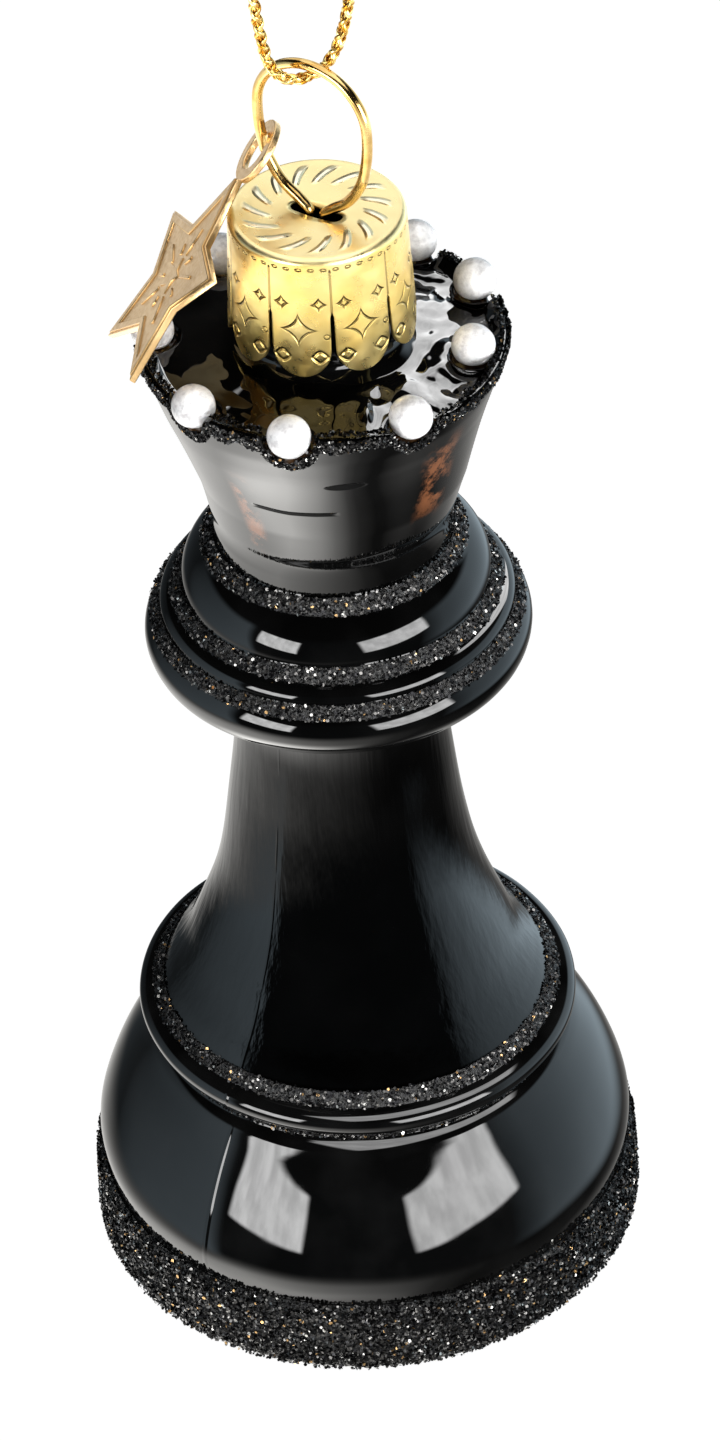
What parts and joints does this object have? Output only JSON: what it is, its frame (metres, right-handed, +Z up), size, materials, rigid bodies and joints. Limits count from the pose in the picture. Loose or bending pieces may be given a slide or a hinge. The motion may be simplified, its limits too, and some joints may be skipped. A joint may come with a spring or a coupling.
{
  "type": "christmas tree ornament",
  "caption": "Hanging blown-glass ornament shaped like a black chess queen, with glitter lines, a crown of pearls, a gold cap, a wire ring, a star tag and a cord loop.",
  "frame": {"origin": "the hook point, where the two strands of the cord loop meet under the knot", "axes": "+Z up along the ornament's axis; the two strands of the cord lie left (-X) and right (+X), and the star tag is on the left"},
  "size_m": [0.053, 0.053, 0.1893],
  "materials": {
    "black_glass": "glossy black lacquer on blown glass",
    "base_glitter": "coarse graphite glitter",
    "black_glitter": "black glitter with silver sparks",
    "pearl": "pearlescent",
    "clear_glue": "clear glossy glue",
    "cap_gold": "satin pale gold sheet",
    "wire_gold": "polished gold wire",
    "tag_brass": "satin rose brass",
    "gold_cord": "metallic braid"
  },
  "bodies": {
    "cord_loop": {"hanging_cord": "gold_cord", "cord_knot": "gold_cord"},
    "hanger": {"hanger_wire": "wire_gold"},
    "tag": {"star_tag": "tag_brass"},
    "cap": {"ornament_cap": "cap_gold"},
    "ornament": {"glass_body": "black_glass", "base_glitter": "base_glitter", "groove_glitter": "black_glitter", "ring_glitter": "black_glitter", "collar_glitter_lower": "black_glitter", "collar_glitter_middle": "black_glitter", "collar_glitter_upper": "black_glitter", "crown_rim_glitter": "black_glitter", "pearl_1": "pearl", "pearl_2": "pearl", "pearl_3": "pearl", "pearl_4": "pearl", "pearl_5": "pearl", "pearl_6": "pearl", "pearl_7": "pearl", "pearl_8": "pearl", "pearl_9": "pearl", "pearl_glue": "clear_glue"}
  },
  "joints": [
    {"name": "cord_swing", "type": "hinge", "parent": "cord_loop", "child": "hanger", "pos_m": [0, 0, -0.0473], "axis": [0.8387, -0.5446, 0], "range_deg": [-20, 20]},
    {"name": "tag_swing", "type": "hinge", "parent": "hanger", "child": "tag", "pos_m": [-0.00433, 0.00281, -0.0572], "axis": [-0.155, 0.94, -0.304], "range_deg": [0, 65]},
    {"name": "ring_tilt", "type": "hinge", "parent": "hanger", "child": "cap", "pos_m": [0, 0, -0.0632], "axis": [0.8387, -0.5446, 0], "range_deg": [0, 10]},
    {"name": "cap_pull", "type": "slide", "parent": "cap", "child": "ornament", "axis": [0, 0, -1], "range_m": [0, 0.012]}
  ]
}
